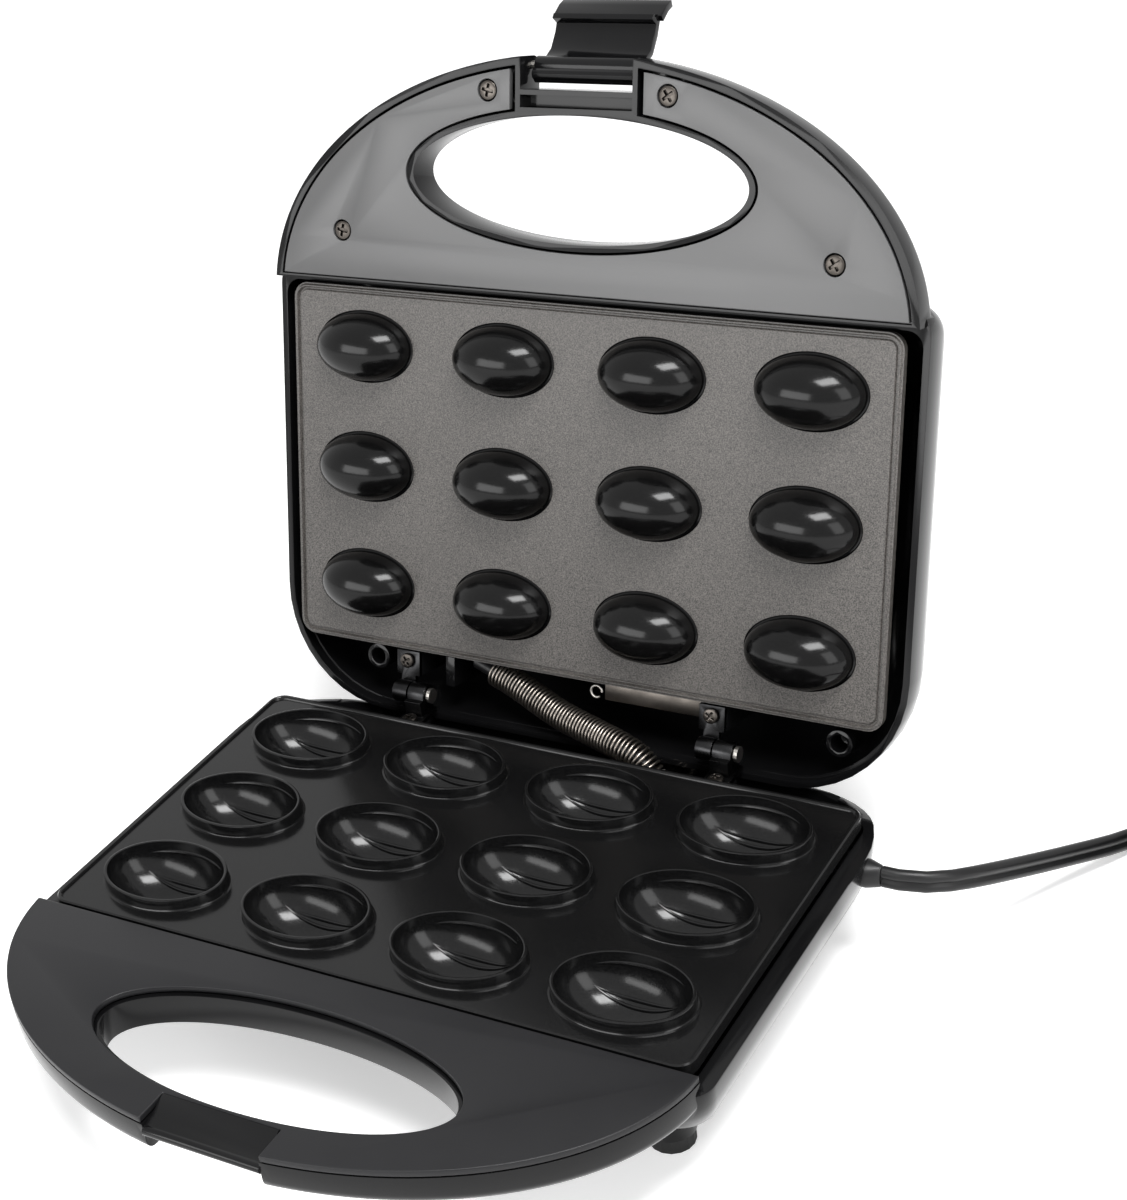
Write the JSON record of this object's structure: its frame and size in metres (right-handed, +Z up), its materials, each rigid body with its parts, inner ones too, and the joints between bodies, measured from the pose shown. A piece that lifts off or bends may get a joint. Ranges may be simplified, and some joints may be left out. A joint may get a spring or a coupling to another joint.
{
  "type": "walnut cake maker",
  "caption": "Two-plate electric iron for nut-shaped cakes, open, with half-round handles, a front latch, rear hinges, a sprung conduit and a flat lead.",
  "frame": {"origin": "under the middle of the open iron's box without its cord, on the surface that the feet stand on", "axes": "+X to the iron's right seen from its handles, +Y from the handles to the hinges, +Z up"},
  "size_m": [0.4102, 0.2989, 0.2433],
  "materials": {
    "gloss_black": "polished moulded plastic",
    "satin_black": "satin moulded plastic",
    "coating_black": "black non-stick coating on cast aluminium",
    "coating_grey": "grey non-stick coating on cast aluminium",
    "bright_steel": "bright steel",
    "dark_screw": "blackened steel",
    "element_steel": "oxidised steel sheath",
    "foot_rubber": "dull rubber",
    "cord_black": "flexible PVC",
    "ceramic": "unglazed heat-proof moulding",
    "lamp_red": "clear red lens",
    "lamp_green": "clear green lens"
  },
  "bodies": {
    "base": {"conduit_wiring": "cord_black", "cord_bushing": "cord_black", "cord_coil": "cord_black", "cord_tie": "cord_black", "foot_front_left": "foot_rubber", "foot_front_right": "foot_rubber", "foot_rear_left": "foot_rubber", "foot_rear_right": "foot_rubber", "hinge_base_bracket_left": "satin_black", "hinge_base_bracket_right": "satin_black", "hinge_base_screw_left": "dark_screw", "hinge_base_screw_right": "dark_screw", "hinge_pin_left": "bright_steel", "hinge_pin_right": "bright_steel", "inner_lead_live": "cord_black", "inner_lead_neutral": "cord_black", "lower_baking_plate": "coating_black", "lower_casing": "gloss_black", "lower_cover_screw_inner_left": "dark_screw", "lower_cover_screw_inner_right": "dark_screw", "lower_cover_screw_outer_left": "dark_screw", "lower_cover_screw_outer_right": "dark_screw", "lower_handle_cover": "satin_black", "lower_heat_shield": "bright_steel", "lower_heating_element": "element_steel", "lower_plate_screw_left": "dark_screw", "lower_plate_screw_right": "dark_screw", "plug": "cord_black", "plug_pin_left": "bright_steel", "plug_pin_right": "bright_steel", "power_cord": "cord_black", "spring_conduit": "bright_steel", "terminal_block": "ceramic", "thermal_fuse": "ceramic", "thermostat": "ceramic"},
    "lid": {"hinge_lid_bracket_left": "satin_black", "hinge_lid_bracket_right": "satin_black", "hinge_lid_screw_left": "dark_screw", "hinge_lid_screw_right": "dark_screw", "latch_axle": "bright_steel", "power_lamp": "lamp_red", "ready_lamp": "lamp_green", "upper_baking_plate": "coating_grey", "upper_casing": "gloss_black", "upper_cover_screw_inner_left": "dark_screw", "upper_cover_screw_inner_right": "dark_screw", "upper_cover_screw_outer_left": "dark_screw", "upper_cover_screw_outer_right": "dark_screw", "upper_handle_cover": "satin_black", "upper_heat_shield": "bright_steel", "upper_heating_element": "element_steel", "upper_plate_screw_left": "dark_screw", "upper_plate_screw_right": "dark_screw"},
    "latch": {"latch_lever": "gloss_black"}
  },
  "joints": [
    {"name": "lid_hinge", "type": "hinge", "parent": "base", "child": "lid", "pos_m": [0, 0.05939, 0.0417], "axis": [1, 0, 0], "range_deg": [0, 105], "deforming": ["spring_conduit", "conduit_wiring"]},
    {"name": "latch_hinge", "type": "hinge", "parent": "lid", "child": "latch", "pos_m": [0, 0.11697, 0.23032], "axis": [1, 0, 0], "range_deg": [0, 122]}
  ]
}
